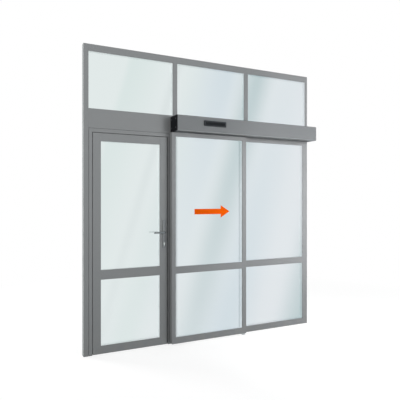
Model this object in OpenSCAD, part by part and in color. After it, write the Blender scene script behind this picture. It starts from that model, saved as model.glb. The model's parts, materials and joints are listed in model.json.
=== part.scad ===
// Glazed entrance screen of three bays: fixed lights above, a hinged glazed door on the
// left, and an automatic sliding door in the middle that opens in front of a fixed side
// screen on the right. The operator sits in a box on the face of the screen.
//
// Frame: X runs along the screen, Y from the face with the operator to the back, Z up.
// The origin is the foot of the left jamb, on its wall side, at the front face.

/* [Screen] */
// Width of the whole screen, from wall to wall
screen_w = 2700; // [2250:10:3100]
// Height of the whole screen
screen_h = 3000; // [2700:10:3600]
// Depth of the fixed frame, front to back
frame_depth = 60; // [50:1:90]
// Face width of the left jamb
left_jamb_w = 47; // [30:1:70]
// Face width of the right jamb
right_jamb_w = 30; // [20:1:60]
// Face height of the head rail
head_rail_h = 67; // [40:1:100]
// Face width of the mullions
mullion_w = 50; // [40:1:70]
// Width of the hinged door's bay, from the outer edge to the first mullion
door_bay_w = 925; // [850:5:1110]
// Distance from the first mullion to the one between the upper lights
upper_light_w = 825; // [650:5:900]
// How far the lintel reaches over the operator's box, to where the upper lights begin
lintel_over_box = 17; // [5:1:60]
// How far the lintel reaches below the operator's box
lintel_under_box = 5; // [2:1:20]
// Radius on the long edges of the profiles
edge_r = 1.5; // [0.5:0.1:2]

/* [Glass] */
// Thickness of the insulated panes of the fixed frame and the hinged door
pane_t = 24; // [6:1:30]
// Distance from the front face of the frame back to those panes
pane_recess = 4; // [3:1:18]

/* [Hinged door] */
// Height of the hinged door's leaf above the floor at its top edge
door_top = 2150; // [1950:1:2150]
// Gap under the hinged door
door_floor_gap = 5; // [5:1:15]
// Width of the hinge side's visible frame
door_frame_w = 34; // [26:1:50]
// Shadow groove between the door's frame and the screen
groove_w = 3; // [2:0.5:6]
// Depth of the shadow groove
groove_d = 7; // [2:0.5:10]
// Face height of the door frame's head
door_head_w = 36; // [26:1:50]
// Face width of the door frame's lock side
lock_frame_w = 52; // [45:1:60]
// Clear edge gap on the hinge side
leaf_gap = 5; // [5:0.5:8]
// Clear edge gap over the leaf
head_gap = 6; // [5:0.5:8]
// Clear edge gap on the lock side, which is wider so that the leaf can swing past
lock_gap = 11; // [9:0.5:16]
// Face width of the leaf's hinge stile
hinge_stile_w = 78; // [60:1:110]
// Face width of the leaf's lock stile
lock_stile_w = 80; // [70:1:110]
// Face height of the leaf's top rail
door_top_rail_h = 78; // [60:1:120]
// Face height of the leaf's middle rail
door_mid_rail_h = 92; // [60:1:140]
// Height of the middle rail's underside
door_mid_rail_z = 726; // [500:1:900]
// Height of the bottom rail's top edge
door_bottom_rail_top = 82; // [60:1:250]
// Depth of the stop lip at the front of the door's frame
lip_d = 22; // [15:1:26]
// How far the leaf's back flange laps behind the stop lip
flange_lap = 12; // [8:1:14]
// Clearance between the flange and the stop lip
flange_gap = 5; // [5:0.5:7]
// Clearance between the flange's edge and the frame on the hinge side and over the leaf
flange_edge_gap = 7; // [6:0.5:9]
// The same clearance on the lock side
lock_flange_gap = 9; // [7:0.5:11]

/* [Hinges and handle] */
// Radius of the hinge barrels
hinge_r = 8; // [7:0.5:9]
// Radius of the hinge pins
hinge_pin_r = 4; // [3:0.5:5]
// Radial clearance of pins and necks in their bores
running_fit = 0.06; // [0.03:0.01:0.1]
// Length of one hinge, both barrels together
hinge_l = 110; // [80:5:140]
// Distance of the hinge axis behind the frame's back face
hinge_axis_y = 12; // [12:0.5:16]
// Height of the lever's spindle
lever_z = 1165; // [1050:5:1200]
// Reach of the lever from its spindle to its tip
lever_l = 124; // [100:1:140]
// Distance of the spindle from the leaf's lock edge
lever_backset = 35; // [32:1:40]
// Width of the handle's backplate
backplate_w = 36; // [32:1:44]
// Length of the handle's backplate
backplate_l = 290; // [240:5:310]
// Thickness of the backplate
backplate_t = 8; // [6:1:10]
// Drop from the spindle to the lock cylinder
cylinder_drop = 112; // [72:1:115]

/* [Sliding door] */
// How far the closed leaf laps over the left mullion and the frame beside it
slide_lap = 93; // [60:1:100]
// Width of the sliding leaf
slide_w = 895; // [750:5:1000]
// Distance of the sliding leaf's back from the screen's front face
slide_offset = 34; // [30:1:40]
// Depth of the sliding leaf, front to back
slide_depth = 45; // [40:1:50]
// Gap under the sliding leaf
slide_floor_gap = 18; // [14:1:25]
// Gap between the sliding leaf and the operator's box
slide_top_gap = 7; // [6:1:12]
// How much of the leaf stays over the way through when it is open
slide_stay = 45; // [42:1:200]
// Least distance from the open leaf to the screen's right end
slide_end_gap = 60; // [60:1:200]
// Face width of the leaf's left stile
slide_left_stile_w = 42; // [35:1:60]
// Face width of the leaf's right stile
slide_right_stile_w = 48; // [40:1:60]
// Face height of the leaf's top rail
slide_top_rail_h = 41; // [35:1:60]
// Face height of the leaf's bottom rail
slide_bottom_rail_h = 63; // [55:1:90]
// Height of the middle rails' underside, on the leaf and the side screen
mid_rail_z = 740; // [500:1:900]
// Face height of those middle rails
mid_rail_h = 71; // [50:1:100]
// Thickness of the sliding leaf's panes
slide_pane_t = 8; // [6:1:12]
// Distance from the leaf's front face back to its panes
slide_pane_recess = 8; // [4:1:26]
// Width of the brush seals on the leaf's back
seal_w = 16; // [10:1:20]
// Clearance between a brush seal and the screen
seal_gap = 8; // [5:1:12]
// Length of the arrow on the leaf's upper pane
arrow_l = 424; // [200:2:500]
// Height of the arrow's shaft
arrow_shaft_h = 58; // [30:1:80]
// Height of the arrow's head
arrow_head_h = 134; // [100:1:180]
// Length of the arrow's head
arrow_head_l = 109; // [60:1:150]
// Height of the arrow's middle
arrow_z = 1377; // [1200:1:1600]
// Distance from the leaf's left edge to the arrow
arrow_x = 259; // [150:1:300]

/* [Side screen] */
// Face width of the side screen's left stile, which the closed leaf laps over
screen_left_stile_w = 60; // [40:1:70]
// How far the closed leaf laps over the side screen
screen_lap = 14; // [10:1:40]
// Face width of the side screen's right stile
screen_right_stile_w = 40; // [30:1:60]
// Face height of the side screen's top rail
screen_top_rail_h = 38; // [30:1:60]
// Face height of the side screen's bottom rail
screen_bottom_rail_h = 67; // [50:1:90]

/* [Operator] */
// How far the operator's box laps over the left mullion and the frame beside it
box_lap = 77; // [60:1:85]
// Height of the box's underside, and so of the way through
box_z = 2205; // [2205:1:2400]
// Height of the box
box_h = 160; // [150:1:192]
// Depth of the box, from the screen's face to its cover
box_d = 166; // [150:1:200]
// Wall thickness of the box's cover
cover_t = 3; // [2:0.5:4]
// Thickness of the end caps
cap_t = 8; // [5:1:12]
// Width of the right cap's return on the front of the box
cap_return_w = 35; // [20:1:50]
// How far that return stands proud of the cover
cap_return_t = 1; // [0.5:0.5:2]
// Thickness of the back plate that carries the track
back_plate_t = 12; // [8:1:16]
// Radius of the carriage wheels
wheel_r = 18; // [14:1:20]
// Width of the carriage wheels
wheel_w = 12; // [8:1:12]
// Height of the track's running edge above the box's underside
track_rise = 68; // [60:1:80]
// Distance from each end of the leaf to the middle of its hanger
hanger_inset = 120; // [90:1:200]
// Width of a hanger plate
hanger_w = 140; // [100:1:160]
// Width of the sensor on the front of the box
sensor_w = 262; // [200:1:300]
// Height of the sensor
sensor_h = 58; // [40:1:70]
// How far the sensor stands out of the cover
sensor_d = 14; // [8:1:25]
// Distance from the box's left end to the sensor
sensor_x = 307; // [250:1:800]
// Distance from the box's underside up to the sensor
sensor_rise = 66; // [20:1:85]

/* [Fixings] */
// Radius of the bolt holes through the jambs
fixing_r = 5; // [4:0.5:6]
// Distance of the lowest and highest jamb bolts from the screen's ends
fixing_end = 150; // [100:5:250]
// Distance of the two middle jamb bolts from the screen's middle
fixing_mid = 450; // [300:10:600]

/* [Hidden] */
$fn = 48;

// Facets of the round edges
edge_fn = 24;

// A cut runs this far past the solid that it goes through
past = 1;

// Thickness of the square edge on the side of a profile that meets the wall
wall_edge = 2 * edge_r;

// Screen lines along X and Z
box_top = box_z + box_h;
lintel_top = box_top + lintel_over_box;
lintel_bottom = box_z - lintel_under_box;
left_mullion_x = door_bay_w;
left_mullion_end = left_mullion_x + mullion_w;
right_mullion_x = left_mullion_end + upper_light_w;
right_mullion_end = right_mullion_x + mullion_w;
right_jamb_x = screen_w - right_jamb_w;
head_z = screen_h - head_rail_h;

// Frame of the hinged door; its body stops short of the front to leave the shadow groove
door_frame_x = left_jamb_w + groove_w;
lip_x = door_frame_x + door_frame_w;
leaf_x = lip_x + leaf_gap;
flange_x = leaf_x - flange_lap;
frame_body_x = flange_x - flange_edge_gap;
lip_z = door_top + head_gap;
door_frame_top = lip_z + door_head_w + groove_w;
flange_z = door_top + flange_lap;
head_body_z = flange_z + flange_edge_gap;
lock_lip_x = left_mullion_x - groove_w - lock_frame_w;
leaf_end = lock_lip_x - lock_gap;
flange_end = leaf_end + flange_lap;
lock_body_x = flange_end + lock_flange_gap;
flange_y = lip_d + flange_gap;
door_mid_rail_top = door_mid_rail_z + door_mid_rail_h;
door_glass_top = door_top - door_top_rail_h;
door_glass_x = leaf_x + hinge_stile_w;
door_glass_end = leaf_end - lock_stile_w;

// Hinges, with the axis behind the leaf and between it and the frame
hinge_side_gap = 1;
hinge_x = frame_body_x + hinge_side_gap;
hinge_y = frame_depth + hinge_axis_y;
hinge_plate_t = 3;
hinge_plate_inset = 3;
hinge_plate_gap = 2;
hinge_leaf_plate_x = flange_x + 1;
hinge_leaf_plate_w = 35;
hinge_web_t = 9;
hinge_joint = 0.5;
hinge_half = (hinge_l - hinge_joint) / 2;
hinge_cap_t = 2;
hinge_pin_gap = 3;
hinge_end = 200;
hinge_zs = [hinge_end, door_top / 2, door_top - hinge_end];

// Handle
lever_x = leaf_end - lever_backset;
neck_r = 9;
neck_l = 40;
neck_gap = 0.5;
lever_t = 10;
lever_hub_r = neck_r + 2;
lever_tip_r = 8;
spindle_r = 4.5;
spindle_bore_r = 10;
backplate_r = 6;
backplate_drop = 15;
backplate_z = lever_z - backplate_drop - backplate_l / 2;
cylinder_r = 8.5;
cylinder_fin_w = 10;
cylinder_fin_h = 16;
cylinder_out = 6;
cylinder_fit = 0.3;
cylinder_z = lever_z - cylinder_drop;

// Sliding leaf, along Y from its back to its front
slide_x = left_mullion_end - slide_lap;
slide_end = slide_x + slide_w;
slide_back = -slide_offset;
slide_front = slide_back - slide_depth;
slide_mid = (slide_back + slide_front) / 2;
slide_top = box_z - slide_top_gap;
slide_rail_top = slide_floor_gap + slide_bottom_rail_h;
slide_glass_x = slide_x + slide_left_stile_w;
slide_glass_end = slide_end - slide_right_stile_w;
slide_glass_top = slide_top - slide_top_rail_h;
slide_glass_y = slide_front + slide_pane_recess;
mid_rail_top = mid_rail_z + mid_rail_h;
slide_travel = min(slide_w - slide_stay, screen_w - slide_end_gap - slide_end);
seal_x = 3;
seal_inset = 2;
arrow_t = 1;

// Floor guide: a fin on the floor that runs in a groove under the leaf
guide_fin_t = 6;
guide_gap = 5;
guide_groove_w = guide_fin_t + 2 * guide_gap;
guide_groove_h = 26;
guide_top_gap = 6;
guide_fin_top = slide_floor_gap + guide_groove_h - guide_top_gap;
guide_base_t = 6;
guide_base_w = 24;
guide_l = 39;
guide_inset = 3;
guide_end = slide_end - guide_inset;
guide_x = guide_end - guide_l;

// Side screen
side_screen_x = slide_end - screen_lap;
side_screen_glass_x = side_screen_x + screen_left_stile_w;
side_screen_glass_end = right_jamb_x - screen_right_stile_w;
side_screen_glass_top = lintel_bottom - screen_top_rail_h;

// Operator
box_x = left_mullion_end - box_lap;
cover_x = box_x + cap_t;
cover_end = screen_w - cap_t;
cover_y = -box_d + cap_return_t;
cover_edge_r = 1;
sensor_r = 10;

// The box's underside ends over the leaf, and leaves a slot behind it for the hangers
slot_lap = 5;
slot_front = slide_front + slot_lap;

// Track on the back plate, and the wheels that run along it
track_z = box_z + track_rise;
track_t = 12;
track_reach = 35;
track_y = -back_plate_t - track_reach;
wheel_gap = 0.3;
wheel_z = track_z + wheel_gap + wheel_r;
wheel_inset = 1;
wheel_y = track_y + wheel_inset;
axle_r = 4;
wheel_spacing = 90;
hanger_t = 6;
hanger_y = slide_mid - hanger_t / 2;
hanger_foot_w = 18;
hanger_over_axle = 12;
hanger_top = wheel_z + hanger_over_axle;
hanger_xs = [slide_x + hanger_inset, slide_end - hanger_inset];

// Buffers on the track that stop the hangers just past each end of the travel
stop_l = 15;
stop_d = 14;
stop_gap = 5;
stop_xs = [hanger_xs[0] - hanger_w / 2 - stop_gap - stop_l,
           hanger_xs[1] + hanger_w / 2 + slide_travel + stop_gap];

// Rectangle with round corners, between two corners
module round_rect(a, b, r) {
    translate([a[0] + r, a[1]]) square([b[0] - a[0] - 2 * r, b[1] - a[1]]);
    translate([a[0], a[1] + r]) square([b[0] - a[0], b[1] - a[1] - 2 * r]);
    for (x = [a[0] + r, b[0] - r], y = [a[1] + r, b[1] - r])
        translate([x, y]) circle(r, $fn = edge_fn);
}

// Profile that stands upright, with round long edges
module post(x0, x1, y0, y1, z0, z1, r = edge_r) {
    translate([0, 0, z0])
        linear_extrude(z1 - z0) round_rect([x0, y0], [x1, y1], r);
}

// Profile that lies along X, with round long edges
module rail(x0, x1, y0, y1, z0, z1, r = edge_r) {
    translate([x0, 0, 0]) rotate([90, 0, 90])
        linear_extrude(x1 - x0) round_rect([y0, z0], [y1, z1], r);
}

// Plain block between two corners
module block(x0, x1, y0, y1, z0, z1) {
    translate([x0, y0, z0]) cube([x1 - x0, y1 - y0, z1 - z0]);
}

// Cylinder along +Y
module y_rod(r, x, y0, y1, z) {
    translate([x, y0, z]) rotate([-90, 0, 0]) cylinder(h = y1 - y0, r = r);
}

// Pane in the fixed frame or the hinged door
module pane(x0, x1, z0, z1) {
    block(x0, x1, pane_recess, pane_recess + pane_t, z0, z1);
}

// Bolt holes through a jamb, along X
module jamb_bolts(x0, x1) {
    for (z = [fixing_end, screen_h / 2 - fixing_mid, screen_h / 2 + fixing_mid, screen_h - fixing_end])
        translate([x0 - past, frame_depth / 2, z]) rotate([0, 90, 0])
            cylinder(h = x1 - x0 + 2 * past, r = fixing_r);
}

// The jambs and the head rail are square on the side that meets the wall

module left_jamb() {
    color("dimgray") difference() {
        union() {
            post(0, left_jamb_w, 0, frame_depth, 0, screen_h);
            block(0, wall_edge, 0, frame_depth, 0, screen_h);
        }
        jamb_bolts(0, left_jamb_w);
    }
}

module right_jamb() {
    color("dimgray") difference() {
        union() {
            post(right_jamb_x, screen_w, 0, frame_depth, 0, screen_h);
            block(screen_w - wall_edge, screen_w, 0, frame_depth, 0, screen_h);
        }
        jamb_bolts(right_jamb_x, screen_w);
    }
}

module head_rail() {
    color("dimgray") {
        rail(left_jamb_w, right_jamb_x, 0, frame_depth, head_z, screen_h);
        block(left_jamb_w, right_jamb_x, 0, frame_depth, screen_h - wall_edge, screen_h);
    }
}

module left_mullion() {
    color("dimgray") post(left_mullion_x, left_mullion_end, 0, frame_depth, 0, head_z);
}

module right_mullion() {
    color("dimgray")
        post(right_mullion_x, right_mullion_end, 0, frame_depth, lintel_top, head_z);
}

module lintel_beam() {
    color("dimgray")
        rail(left_mullion_end, right_jamb_x, 0, frame_depth, lintel_bottom, lintel_top);
}

module spandrel_panel() {
    color("dimgray")
        rail(left_jamb_w, left_mullion_x, 0, frame_depth, door_frame_top, lintel_top);
}

module upper_lights() {
    color("lightcyan", 0.4) {
        pane(left_jamb_w, left_mullion_x, lintel_top, head_z);
        pane(left_mullion_end, right_mullion_x, lintel_top, head_z);
        pane(right_mullion_end, right_jamb_x, lintel_top, head_z);
    }
}

// The hinged door's frame: a lip at the front that stops the leaf, and a body behind it

module door_frame_hinge_side() {
    color("gray") {
        post(door_frame_x, lip_x, 0, lip_d, 0, door_frame_top - groove_w);
        block(left_jamb_w, lip_x, groove_d, lip_d, 0, door_frame_top);
        block(left_jamb_w, frame_body_x, groove_d, frame_depth, 0, door_frame_top);
    }
}

module door_frame_head() {
    color("gray") {
        rail(lip_x, lock_lip_x, 0, lip_d, lip_z, door_frame_top - groove_w);
        block(lip_x, lock_lip_x, groove_d, lip_d, head_body_z, door_frame_top);
        block(frame_body_x, lock_body_x, lip_d, frame_depth, head_body_z, door_frame_top);
    }
}

module door_frame_lock_side() {
    color("gray") {
        post(lock_lip_x, left_mullion_x - groove_w, 0, lip_d, 0, door_frame_top - groove_w);
        block(lock_lip_x, left_mullion_x, groove_d, lip_d, 0, door_frame_top);
        block(lock_body_x, left_mullion_x, groove_d, frame_depth, 0, door_frame_top);
    }
}

// Lower half of each hinge, on the frame, with the pin that the leaf hangs on
module frame_hinge(z) {
    low = z - hinge_l / 2;
    top = low + hinge_half;
    pin_top = z + hinge_l / 2 - hinge_cap_t - hinge_pin_gap;
    translate([hinge_x, hinge_y, low]) cylinder(h = hinge_half, r = hinge_r);
    translate([hinge_x, hinge_y, low]) cylinder(h = pin_top - low, r = hinge_pin_r);
    block(left_jamb_w + hinge_plate_inset, hinge_x - hinge_plate_gap, frame_depth,
          frame_depth + hinge_plate_t, low, top);
    block(hinge_x - hinge_web_t, hinge_x, frame_depth, hinge_y, low, top);
}

module frame_hinges() {
    color("silver") for (z = hinge_zs) frame_hinge(z);
}

// Upper half of each hinge, on the leaf, with the bore that sits over the pin
module leaf_hinge(z) {
    low = z + hinge_joint / 2;
    top = low + hinge_half;
    difference() {
        union() {
            translate([hinge_x, hinge_y, low]) cylinder(h = hinge_half, r = hinge_r);
            block(hinge_x, hinge_x + hinge_web_t, frame_depth, hinge_y, low, top);
            block(hinge_leaf_plate_x, hinge_leaf_plate_x + hinge_leaf_plate_w, frame_depth,
                  frame_depth + hinge_plate_t, low, top);
        }
        translate([hinge_x, hinge_y, low - past])
            cylinder(h = hinge_half - hinge_cap_t + past, r = hinge_pin_r + running_fit);
    }
}

module leaf_hinges() {
    color("silver") for (z = hinge_zs) leaf_hinge(z);
}

// The fixed side screen

module screen_left_stile() {
    color("dimgray")
        post(side_screen_x, side_screen_glass_x, 0, frame_depth, 0, lintel_bottom);
}

module screen_right_stile() {
    color("dimgray")
        post(side_screen_glass_end, right_jamb_x, 0, frame_depth, 0, lintel_bottom);
}

module screen_rail(z0, z1) {
    color("dimgray") rail(side_screen_glass_x, side_screen_glass_end, 0, frame_depth, z0, z1);
}

module screen_top_rail() {
    screen_rail(side_screen_glass_top, lintel_bottom);
}

module screen_mid_rail() {
    screen_rail(mid_rail_z, mid_rail_top);
}

module screen_bottom_rail() {
    screen_rail(0, screen_bottom_rail_h);
}

module screen_panes() {
    color("lightcyan", 0.4) {
        pane(side_screen_glass_x, side_screen_glass_end, screen_bottom_rail_h, mid_rail_z);
        pane(side_screen_glass_x, side_screen_glass_end, mid_rail_top, side_screen_glass_top);
    }
}

// The operator's box, on the face of the lintel

module header_back_plate() {
    color("gray") block(cover_x, cover_end, -back_plate_t, 0, box_z, box_top);
}

module header_track() {
    color("silver") block(cover_x, cover_end, track_y, -back_plate_t, track_z - track_t, track_z);
}

module track_stops() {
    color("black") for (x = stop_xs)
        block(x, x + stop_l, track_y - stop_d, track_y, track_z - track_t, track_z);
}

module header_front() {
    color("gray") rail(cover_x, cover_end, cover_y, cover_y + cover_t, box_z, box_top,
                       cover_edge_r);
}

module header_top() {
    color("gray") block(cover_x, cover_end, cover_y + cover_t, -back_plate_t,
                        box_top - cover_t, box_top);
}

module header_underside() {
    color("gray") block(cover_x, cover_end, cover_y + cover_t, slot_front,
                        box_z, box_z + cover_t);
}

module header_left_cap() {
    color("black") rail(box_x, cover_x, -box_d, 0, box_z, box_top);
}

module header_right_cap() {
    color("gray") {
        rail(cover_end, screen_w, -box_d, 0, box_z, box_top);
        block(screen_w - cap_return_w, cover_end, -box_d, cover_y, box_z, box_top);
    }
}

module door_sensor() {
    color("black") translate([box_x + sensor_x, cover_y, box_z + sensor_rise])
        rotate([90, 0, 0]) linear_extrude(sensor_d)
            round_rect([0, 0], [sensor_w, sensor_h], sensor_r);
}

module floor_guide() {
    color("silver") {
        block(guide_x, guide_end, slide_mid - guide_base_w / 2, 0, 0, guide_base_t);
        block(guide_x, guide_end, slide_mid - guide_fin_t / 2, slide_mid + guide_fin_t / 2,
              0, guide_fin_top);
    }
}

// The hinged leaf; a flange along its back laps behind the frame's lip

module door_hinge_stile() {
    color("gray") {
        post(leaf_x, door_glass_x, 0, frame_depth, door_floor_gap, door_top);
        block(flange_x, door_glass_x, flange_y, frame_depth, door_floor_gap, flange_z);
    }
}

module cylinder_outline(fit) {
    circle(cylinder_r + fit);
    translate([-cylinder_fin_w / 2 - fit, -cylinder_r - cylinder_fin_h - fit])
        square([cylinder_fin_w + 2 * fit, cylinder_r + cylinder_fin_h + fit]);
}

// The lock cylinder's shape along Y, grown by a clearance where it is a hole
module cylinder_bar(y0, y1, fit = 0) {
    translate([lever_x, y1, cylinder_z]) rotate([90, 0, 0])
        linear_extrude(y1 - y0) cylinder_outline(fit);
}

module door_lock_stile() {
    color("gray") difference() {
        union() {
            post(door_glass_end, leaf_end, 0, frame_depth, door_floor_gap, door_top);
            block(door_glass_end, flange_end, flange_y, frame_depth, door_floor_gap, flange_z);
        }
        y_rod(spindle_bore_r, lever_x, -past, frame_depth + past, lever_z);
        cylinder_bar(-past, frame_depth + past, cylinder_fit);
    }
}

module door_top_rail() {
    color("gray") {
        rail(door_glass_x, door_glass_end, 0, frame_depth, door_glass_top, door_top);
        block(door_glass_x, door_glass_end, flange_y, frame_depth, door_glass_top, flange_z);
    }
}

module door_mid_rail() {
    color("gray")
        rail(door_glass_x, door_glass_end, 0, frame_depth, door_mid_rail_z, door_mid_rail_top);
}

module door_bottom_rail() {
    color("gray")
        rail(door_glass_x, door_glass_end, 0, frame_depth, door_floor_gap, door_bottom_rail_top);
}

module door_panes() {
    color("lightcyan", 0.4) {
        pane(door_glass_x, door_glass_end, door_bottom_rail_top, door_mid_rail_z);
        pane(door_glass_x, door_glass_end, door_mid_rail_top, door_glass_top);
    }
}

// A backplate between two places along Y, with the neck's bore and the cylinder's hole
module backplate(y0) {
    difference() {
        translate([lever_x - backplate_w / 2, y0 + backplate_t, backplate_z])
            rotate([90, 0, 0]) linear_extrude(backplate_t)
                round_rect([0, 0], [backplate_w, backplate_l], backplate_r);
        y_rod(neck_r + running_fit, lever_x, y0 - past, y0 + backplate_t + past, lever_z);
        cylinder_bar(y0 - past, y0 + backplate_t + past, cylinder_fit);
    }
}

module handle_plates() {
    color("silver") {
        backplate(-backplate_t);
        backplate(frame_depth);
    }
}

module lock_cylinder() {
    color("gainsboro")
        cylinder_bar(-backplate_t - cylinder_out, frame_depth + backplate_t + cylinder_out);
}

// A lever with its neck, drawn outwards from the leaf's front face at y = 0
module lever() {
    arm_y = -backplate_t - neck_l;
    tip_x = lever_tip_r - lever_l;
    y_rod(neck_r, 0, arm_y + lever_t, -neck_gap, 0);
    translate([0, arm_y + lever_t, 0]) rotate([90, 0, 0]) linear_extrude(lever_t) {
        circle(lever_hub_r);
        polygon([[0, lever_hub_r], [tip_x, lever_tip_r], [tip_x, -lever_tip_r], [0, -lever_hub_r]]);
        translate([tip_x, 0]) circle(lever_tip_r);
    }
}

module front_lever() {
    color("silver") translate([lever_x, 0, lever_z]) lever();
}

module back_lever() {
    color("silver") translate([lever_x, frame_depth, lever_z]) mirror([0, 1, 0]) lever();
}

module lever_spindle() {
    color("silver")
        y_rod(spindle_r, lever_x, -neck_gap, frame_depth + neck_gap, lever_z);
}

// The sliding leaf

module slide_left_stile() {
    color("gray") post(slide_x, slide_glass_x, slide_front, slide_back,
                       slide_rail_top, slide_glass_top);
}

module slide_right_stile() {
    color("gray") post(slide_glass_end, slide_end, slide_front, slide_back,
                       slide_rail_top, slide_glass_top);
}

module slide_top_rail() {
    color("gray") rail(slide_x, slide_end, slide_front, slide_back, slide_glass_top, slide_top);
}

module slide_mid_rail() {
    color("gray") rail(slide_glass_x, slide_glass_end, slide_front, slide_back,
                       mid_rail_z, mid_rail_top);
}

module slide_bottom_rail() {
    color("gray") difference() {
        rail(slide_x, slide_end, slide_front, slide_back, slide_floor_gap, slide_rail_top);
        block(slide_x - past, slide_end + past, slide_mid - guide_groove_w / 2,
              slide_mid + guide_groove_w / 2, slide_floor_gap - past,
              slide_floor_gap + guide_groove_h);
    }
}

module slide_pane(z0, z1) {
    block(slide_glass_x, slide_glass_end, slide_glass_y, slide_glass_y + slide_pane_t, z0, z1);
}

module slide_panes() {
    color("lightcyan", 0.4) {
        slide_pane(slide_rail_top, mid_rail_z);
        slide_pane(mid_rail_top, slide_glass_top);
    }
}

module slide_seals() {
    color("black") for (x = [slide_x + seal_x, slide_end - seal_x - seal_w])
        block(x, x + seal_w, slide_back, -seal_gap,
              slide_floor_gap + seal_inset, slide_top - seal_inset);
}

module arrow_decal() {
    half = arrow_shaft_h / 2;
    head = arrow_head_h / 2;
    neck = arrow_l - arrow_head_l;
    color("orangered") translate([slide_x + arrow_x, slide_glass_y, arrow_z])
        rotate([90, 0, 0]) linear_extrude(arrow_t)
            polygon([[0, -half], [neck, -half], [neck, -head], [arrow_l, 0],
                     [neck, head], [neck, half], [0, half]]);
}

// A plate that stands on the leaf, with an axle for each of its two wheels
module hanger(x) {
    x0 = x - hanger_w / 2;
    block(x0, x0 + hanger_w, hanger_y, hanger_y + hanger_t, slide_top, hanger_top);
    block(x0, x0 + hanger_w, slide_mid - hanger_foot_w / 2, slide_mid + hanger_foot_w / 2,
          slide_top, slide_top + hanger_t);
    for (side = [-1, 1])
        y_rod(axle_r, x + side * wheel_spacing / 2, hanger_y, wheel_y + wheel_w, wheel_z);
}

module carriage_hangers() {
    color("silver") for (x = hanger_xs) hanger(x);
}

module carriage_wheels() {
    color("white") for (x = hanger_xs, side = [-1, 1])
        translate([x + side * wheel_spacing / 2, wheel_y, wheel_z]) rotate([-90, 0, 0])
            difference() {
                cylinder(h = wheel_w, r = wheel_r);
                translate([0, 0, -past]) cylinder(h = wheel_w + 2 * past, r = axle_r + running_fit);
            }
}

left_jamb();
right_jamb();
head_rail();
left_mullion();
right_mullion();
lintel_beam();
spandrel_panel();
upper_lights();
door_frame_hinge_side();
door_frame_head();
door_frame_lock_side();
frame_hinges();
screen_left_stile();
screen_right_stile();
screen_top_rail();
screen_mid_rail();
screen_bottom_rail();
screen_panes();
header_back_plate();
header_track();
track_stops();
header_front();
header_top();
header_underside();
header_left_cap();
header_right_cap();
door_sensor();
floor_guide();
door_hinge_stile();
door_lock_stile();
door_top_rail();
door_mid_rail();
door_bottom_rail();
door_panes();
leaf_hinges();
handle_plates();
lock_cylinder();
front_lever();
back_lever();
lever_spindle();
slide_left_stile();
slide_right_stile();
slide_top_rail();
slide_mid_rail();
slide_bottom_rail();
slide_panes();
slide_seals();
arrow_decal();
carriage_hangers();
carriage_wheels();
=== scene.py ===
import json
import math

import bmesh
import bpy
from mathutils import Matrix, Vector


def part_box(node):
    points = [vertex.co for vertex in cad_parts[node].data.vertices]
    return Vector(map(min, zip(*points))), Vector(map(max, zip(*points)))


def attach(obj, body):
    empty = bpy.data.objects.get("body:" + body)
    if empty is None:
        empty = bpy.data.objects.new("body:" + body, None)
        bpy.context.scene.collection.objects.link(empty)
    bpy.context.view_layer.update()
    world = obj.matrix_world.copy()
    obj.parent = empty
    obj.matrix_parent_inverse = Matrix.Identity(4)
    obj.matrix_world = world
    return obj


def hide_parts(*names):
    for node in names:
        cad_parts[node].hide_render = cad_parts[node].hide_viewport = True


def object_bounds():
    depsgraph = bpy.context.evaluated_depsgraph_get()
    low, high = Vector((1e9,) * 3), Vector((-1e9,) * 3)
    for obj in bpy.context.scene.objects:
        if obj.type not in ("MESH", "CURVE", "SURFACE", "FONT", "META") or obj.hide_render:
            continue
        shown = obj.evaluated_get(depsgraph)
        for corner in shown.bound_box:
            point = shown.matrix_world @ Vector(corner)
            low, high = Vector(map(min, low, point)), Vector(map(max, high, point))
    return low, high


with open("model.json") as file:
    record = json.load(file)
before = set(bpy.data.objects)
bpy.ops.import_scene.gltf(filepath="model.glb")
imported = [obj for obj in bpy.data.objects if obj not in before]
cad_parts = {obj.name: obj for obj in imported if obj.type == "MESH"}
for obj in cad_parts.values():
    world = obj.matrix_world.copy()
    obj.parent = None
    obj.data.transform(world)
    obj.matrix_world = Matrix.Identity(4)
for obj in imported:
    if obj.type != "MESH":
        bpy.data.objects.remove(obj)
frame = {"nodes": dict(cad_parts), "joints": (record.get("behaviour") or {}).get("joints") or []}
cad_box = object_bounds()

X, Y, Z = Vector((1, 0, 0)), Vector((0, 1, 0)), Vector((0, 0, 1))


# ---------------------------------------------------------------- places from the frame


def solids(node):
    """Lowest and highest corner of each separate solid of a CAD node, from left to right."""
    bm = bmesh.new()
    bm.from_mesh(frame["nodes"][node].data)
    bmesh.ops.remove_doubles(bm, verts=bm.verts, dist=1e-5)
    left, found = set(bm.verts), []
    while left:
        todo, places = [left.pop()], []
        while todo:
            vert = todo.pop()
            places.append(vert.co.copy())
            near = {e.other_vert(vert) for e in vert.link_edges} & left
            left -= near
            todo += near
        low = Vector(min(p[i] for p in places) for i in range(3))
        high = Vector(max(p[i] for p in places) for i in range(3))
        found.append((low, high))
    bm.free()
    return sorted(found, key=lambda b: (round(b[0].x, 3), round(b[0].z, 3), b[0].y))


def joint(name):
    """The place of a joint of the frame."""
    return Vector(next(j for j in frame["joints"] if j["name"] == name)["pos_m"])


# ---------------------------------------------------------------- shapes


def add_loft(bm, loops, closed=False):
    """Joins loops of as many points each. The ends are capped, or joined when closed."""
    rows = [[bm.verts.new(p) for p in loop] for loop in loops]
    pairs = list(zip(rows, rows[1:] + rows[:1])) if closed else list(zip(rows, rows[1:]))
    for a, b in pairs:
        for i in range(len(a)):
            j = (i + 1) % len(a)
            bm.faces.new((a[i], a[j], b[j], b[i]))
    if not closed:
        bm.faces.new(rows[0][::-1])
        bm.faces.new(rows[-1])


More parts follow.
